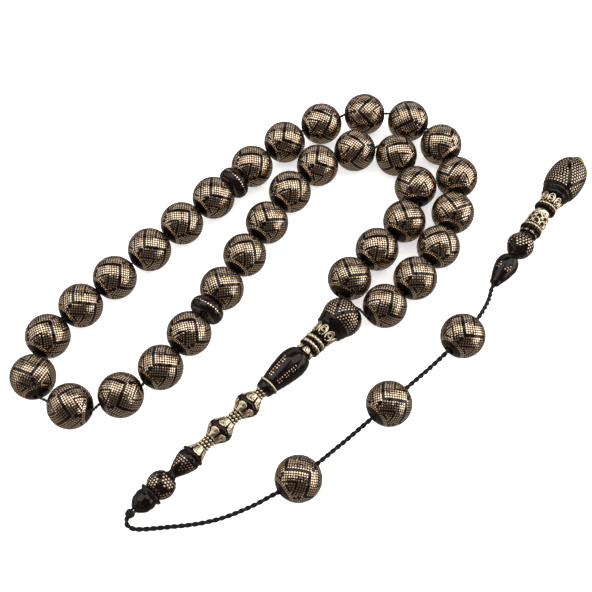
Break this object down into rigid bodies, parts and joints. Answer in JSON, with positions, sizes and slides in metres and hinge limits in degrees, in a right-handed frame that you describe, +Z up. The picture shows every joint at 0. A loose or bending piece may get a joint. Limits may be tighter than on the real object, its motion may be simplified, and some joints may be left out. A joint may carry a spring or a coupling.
{
  "type": "string of prayer beads",
  "caption": "Closed loop of inlaid round prayer beads with divider discs, a long turned head, a cord tail with counter beads, and a pendant.",
  "frame": {"origin": "on the table, under the middle of the outline of the loop, head and pendant", "axes": "+X along the longest side of the outline towards the pendant, +Y away from the knot under the head, +Z up from the table"},
  "size_m": [0.1321, 0.109, 0.01],
  "materials": {
    "jet": "polished black, inlaid with silver pins",
    "silver": "cast and polished warm silver, darkened in the hollows",
    "brass": "polished",
    "cord": "twisted waxed cord",
    "thin_string": "thin plaited string"
  },
  "bodies": {
    "strings": {"loop_string": "thin_string", "tail_cord": "cord", "cord_knots": "cord", "cone_cap": "silver", "granule_barrels": "silver", "ring_spacer": "silver", "crown_collar": "silver", "pendant_collars": "silver"},
    "bead_01": {"bead_01": "jet"},
    "bead_02": {"bead_02": "jet"},
    "bead_03": {"bead_03": "jet"},
    "bead_04": {"bead_04": "jet"},
    "bead_05": {"bead_05": "jet"},
    "bead_06": {"bead_06": "jet"},
    "bead_07": {"bead_07": "jet"},
    "bead_08": {"bead_08": "jet"},
    "bead_09": {"bead_09": "jet"},
    "bead_10": {"bead_10": "jet"},
    "bead_11": {"bead_11": "jet"},
    "bead_12": {"bead_12": "jet"},
    "bead_13": {"bead_13": "jet"},
    "bead_14": {"bead_14": "jet"},
    "bead_15": {"bead_15": "jet"},
    "bead_16": {"bead_16": "jet"},
    "bead_17": {"bead_17": "jet"},
    "bead_18": {"bead_18": "jet"},
    "bead_19": {"bead_19": "jet"},
    "bead_20": {"bead_20": "jet"},
    "bead_21": {"bead_21": "jet"},
    "bead_22": {"bead_22": "jet"},
    "bead_23": {"bead_23": "jet"},
    "bead_24": {"bead_24": "jet"},
    "bead_25": {"bead_25": "jet"},
    "bead_26": {"bead_26": "jet"},
    "bead_27": {"bead_27": "jet"},
    "bead_28": {"bead_28": "jet"},
    "bead_29": {"bead_29": "jet"},
    "bead_30": {"bead_30": "jet"},
    "bead_31": {"bead_31": "jet"},
    "bead_32": {"bead_32": "jet"},
    "bead_33": {"bead_33": "jet"},
    "divider_disc_1": {"divider_disc_1": "jet"},
    "divider_disc_2": {"divider_disc_2": "jet"},
    "counter_bead_1": {"counter_bead_1": "jet"},
    "counter_bead_2": {"counter_bead_2": "jet"},
    "counter_bead_3": {"counter_bead_3": "jet"},
    "head_tip": {"head_tip": "jet"},
    "head_ball": {"head_ball": "jet"},
    "head_cone": {"head_cone": "jet"},
    "waist_bead_1": {"waist_bead_1": "jet", "waist_caps_1": "silver"},
    "waist_bead_2": {"waist_bead_2": "jet", "waist_caps_2": "silver"},
    "head_pear": {"head_pear": "jet", "pear_ring": "silver"},
    "head_egg": {"head_egg": "jet"},
    "pendant_drop": {"pendant_drop": "jet"},
    "pendant_ball": {"pendant_ball": "jet"},
    "pendant_egg": {"pendant_egg": "jet", "pendant_stud": "brass"}
  },
  "joints": [
    {"name": "bead_01_spin", "type": "hinge", "parent": "strings", "child": "bead_01", "pos_m": [0.016, -0.005, 0.005], "axis": [0.8265, 0.5629, 0], "continuous": true},
    {"name": "bead_02_spin", "type": "hinge", "parent": "strings", "child": "bead_02", "pos_m": [0.02317, 0.00211, 0.005], "axis": [0.6435, 0.7655, 0], "continuous": true},
    {"name": "bead_03_spin", "type": "hinge", "parent": "strings", "child": "bead_03", "pos_m": [0.02894, 0.0104, 0.005], "axis": [0.4847, 0.8747, 0], "continuous": true},
    {"name": "bead_04_spin", "type": "hinge", "parent": "strings", "child": "bead_04", "pos_m": [0.03291, 0.01969, 0.005], "axis": [0.2764, 0.961, 0], "continuous": true},
    {"name": "bead_05_spin", "type": "hinge", "parent": "strings", "child": "bead_05", "pos_m": [0.03449, 0.02967, 0.005], "axis": [-0.0804, 0.9968, 0], "continuous": true},
    {"name": "bead_06_spin", "type": "hinge", "parent": "strings", "child": "bead_06", "pos_m": [0.03133, 0.03926, 0.005], "axis": [-0.5387, 0.8425, 0], "continuous": true},
    {"name": "bead_07_spin", "type": "hinge", "parent": "strings", "child": "bead_07", "pos_m": [0.02365, 0.04642, 0.005], "axis": [-0.8906, 0.4547, 0], "continuous": true},
    {"name": "bead_08_spin", "type": "hinge", "parent": "strings", "child": "bead_08", "pos_m": [0.01296, 0.04852, 0.005], "axis": [-0.9994, -0.0359, 0], "continuous": true},
    {"name": "bead_09_spin", "type": "hinge", "parent": "strings", "child": "bead_09", "pos_m": [0.00224, 0.04561, 0.005], "axis": [-0.9176, -0.3975, 0], "continuous": true},
    {"name": "bead_10_spin", "type": "hinge", "parent": "strings", "child": "bead_10", "pos_m": [-0.00678, 0.04005, 0.005], "axis": [-0.7983, -0.6023, 0], "continuous": true},
    {"name": "bead_11_spin", "type": "hinge", "parent": "strings", "child": "bead_11", "pos_m": [-0.0146, 0.0329, 0.005], "axis": [-0.7034, -0.7108, 0], "continuous": true},
    {"name": "bead_12_spin", "type": "hinge", "parent": "strings", "child": "bead_12", "pos_m": [-0.02356, 0.02392, 0.005], "axis": [-0.727, -0.6867, 0], "continuous": true},
    {"name": "bead_13_spin", "type": "hinge", "parent": "strings", "child": "bead_13", "pos_m": [-0.03073, 0.0168, 0.005], "axis": [-0.7075, -0.7068, 0], "continuous": true},
    {"name": "bead_14_spin", "type": "hinge", "parent": "strings", "child": "bead_14", "pos_m": [-0.03785, 0.00965, 0.005], "axis": [-0.7084, -0.7058, 0], "continuous": true},
    {"name": "bead_15_spin", "type": "hinge", "parent": "strings", "child": "bead_15", "pos_m": [-0.04532, 0.00226, 0.005], "axis": [-0.7079, -0.7063, 0], "continuous": true},
    {"name": "bead_16_spin", "type": "hinge", "parent": "strings", "child": "bead_16", "pos_m": [-0.05244, -0.0049, 0.005], "axis": [-0.679, -0.7341, 0], "continuous": true},
    {"name": "bead_17_spin", "type": "hinge", "parent": "strings", "child": "bead_17", "pos_m": [-0.05903, -0.01256, 0.005], "axis": [-0.4493, -0.8934, 0], "continuous": true},
    {"name": "bead_18_spin", "type": "hinge", "parent": "strings", "child": "bead_18", "pos_m": [-0.06124, -0.02241, 0.005], "axis": [0.3361, -0.9418, 0], "continuous": true},
    {"name": "bead_19_spin", "type": "hinge", "parent": "strings", "child": "bead_19", "pos_m": [-0.0525, -0.02925, 0.005], "axis": [0.9773, -0.2118, 0], "continuous": true},
    {"name": "bead_20_spin", "type": "hinge", "parent": "strings", "child": "bead_20", "pos_m": [-0.04181, -0.02667, 0.005], "axis": [0.8983, 0.4393, 0], "continuous": true},
    {"name": "bead_21_spin", "type": "hinge", "parent": "strings", "child": "bead_21", "pos_m": [-0.0336, -0.02013, 0.005], "axis": [0.6872, 0.7265, 0], "continuous": true},
    {"name": "bead_22_spin", "type": "hinge", "parent": "strings", "child": "bead_22", "pos_m": [-0.02775, -0.01189, 0.005], "axis": [0.5582, 0.8297, 0], "continuous": true},
    {"name": "bead_23_spin", "type": "hinge", "parent": "strings", "child": "bead_23", "pos_m": [-0.02081, -0.00055, 0.005], "axis": [0.4996, 0.8662, 0], "continuous": true},
    {"name": "bead_24_spin", "type": "hinge", "parent": "strings", "child": "bead_24", "pos_m": [-0.01582, 0.00823, 0.005], "axis": [0.4959, 0.8684, 0], "continuous": true},
    {"name": "bead_25_spin", "type": "hinge", "parent": "strings", "child": "bead_25", "pos_m": [-0.0108, 0.01699, 0.005], "axis": [0.5132, 0.8582, 0], "continuous": true},
    {"name": "bead_26_spin", "type": "hinge", "parent": "strings", "child": "bead_26", "pos_m": [-0.00545, 0.02557, 0.005], "axis": [0.5962, 0.8029, 0], "continuous": true},
    {"name": "bead_27_spin", "type": "hinge", "parent": "strings", "child": "bead_27", "pos_m": [0.00121, 0.03316, 0.005], "axis": [0.7961, 0.6052, 0], "continuous": true},
    {"name": "bead_28_spin", "type": "hinge", "parent": "strings", "child": "bead_28", "pos_m": [0.0103, 0.03754, 0.005], "axis": [0.9881, 0.1539, 0], "continuous": true},
    {"name": "bead_29_spin", "type": "hinge", "parent": "strings", "child": "bead_29", "pos_m": [0.02031, 0.03613, 0.005], "axis": [0.8014, -0.5982, 0], "continuous": true},
    {"name": "bead_30_spin", "type": "hinge", "parent": "strings", "child": "bead_30", "pos_m": [0.0245, 0.02695, 0.005], "axis": [0.0583, -0.9983, 0], "continuous": true},
    {"name": "bead_31_spin", "type": "hinge", "parent": "strings", "child": "bead_31", "pos_m": [0.0214, 0.01733, 0.005], "axis": [-0.4944, -0.8692, 0], "continuous": true},
    {"name": "bead_32_spin", "type": "hinge", "parent": "strings", "child": "bead_32", "pos_m": [0.01473, 0.00976, 0.005], "axis": [-0.6529, -0.7575, 0], "continuous": true},
    {"name": "bead_33_spin", "type": "hinge", "parent": "strings", "child": "bead_33", "pos_m": [0.00822, 0.00203, 0.005], "axis": [-0.4887, -0.8724, 0], "continuous": true},
    {"name": "divider_disc_1_spin", "type": "hinge", "parent": "strings", "child": "divider_disc_1", "pos_m": [-0.01884, 0.02816, 0.005], "axis": [-0.7065, -0.7077, 0], "continuous": true},
    {"name": "divider_disc_2_spin", "type": "hinge", "parent": "strings", "child": "divider_disc_2", "pos_m": [-0.02402, -0.00603, 0.005], "axis": [0.5212, 0.8534, 0], "continuous": true},
    {"name": "counter_bead_1_slide", "type": "slide", "parent": "strings", "child": "counter_bead_1", "axis": [0.7911, 0.6117, 0], "range_m": [0, 0.003]},
    {"name": "counter_bead_2_slide", "type": "slide", "parent": "strings", "child": "counter_bead_2", "axis": [0.7408, 0.6717, 0], "range_m": [-0.003, 0.003]},
    {"name": "counter_bead_3_slide", "type": "slide", "parent": "strings", "child": "counter_bead_3", "axis": [0.6712, 0.7413, 0], "range_m": [-0.0025, 0.0005]},
    {"name": "head_tip_spin", "type": "hinge", "parent": "strings", "child": "head_tip", "pos_m": [-0.03573, -0.04973, 0.00296], "axis": [0.7068, 0.7068, 0.0276], "continuous": true},
    {"name": "head_ball_spin", "type": "hinge", "parent": "strings", "child": "head_ball", "pos_m": [-0.0322, -0.0462, 0.0031], "axis": [0.7068, 0.7068, 0.0276], "continuous": true},
    {"name": "head_cone_spin", "type": "hinge", "parent": "strings", "child": "head_cone", "pos_m": [-0.0276, -0.0416, 0.00328], "axis": [0.7068, 0.7068, 0.0276], "continuous": true},
    {"name": "waist_bead_1_spin", "type": "hinge", "parent": "strings", "child": "waist_bead_1", "pos_m": [-0.01453, -0.02853, 0.00379], "axis": [0.7068, 0.7068, 0.0276], "continuous": true},
    {"name": "waist_bead_2_spin", "type": "hinge", "parent": "strings", "child": "waist_bead_2", "pos_m": [-0.02025, -0.03425, 0.00357], "axis": [0.7068, 0.7068, 0.0276], "continuous": true},
    {"name": "head_pear_spin", "type": "hinge", "parent": "strings", "child": "head_pear", "pos_m": [-0.00534, -0.01934, 0.00415], "axis": [0.7068, 0.7068, 0.0276], "continuous": true},
    {"name": "head_egg_spin", "type": "hinge", "parent": "strings", "child": "head_egg", "pos_m": [0.00618, -0.00782, 0.0046], "axis": [0.7068, 0.7068, 0.0276], "continuous": true},
    {"name": "pendant_drop_spin", "type": "hinge", "parent": "strings", "child": "pendant_drop", "pos_m": [0.04436, 0.00609, 0.0028], "axis": [0.5726, 0.8178, 0.0581], "continuous": true},
    {"name": "pendant_ball_spin", "type": "hinge", "parent": "strings", "child": "pendant_ball", "pos_m": [0.04831, 0.01173, 0.0032], "axis": [0.5726, 0.8178, 0.0581], "continuous": true},
    {"name": "pendant_egg_spin", "type": "hinge", "parent": "strings", "child": "pendant_egg", "pos_m": [0.06062, 0.02931, 0.00445], "axis": [0.5726, 0.8178, 0.0581], "continuous": true}
  ]
}
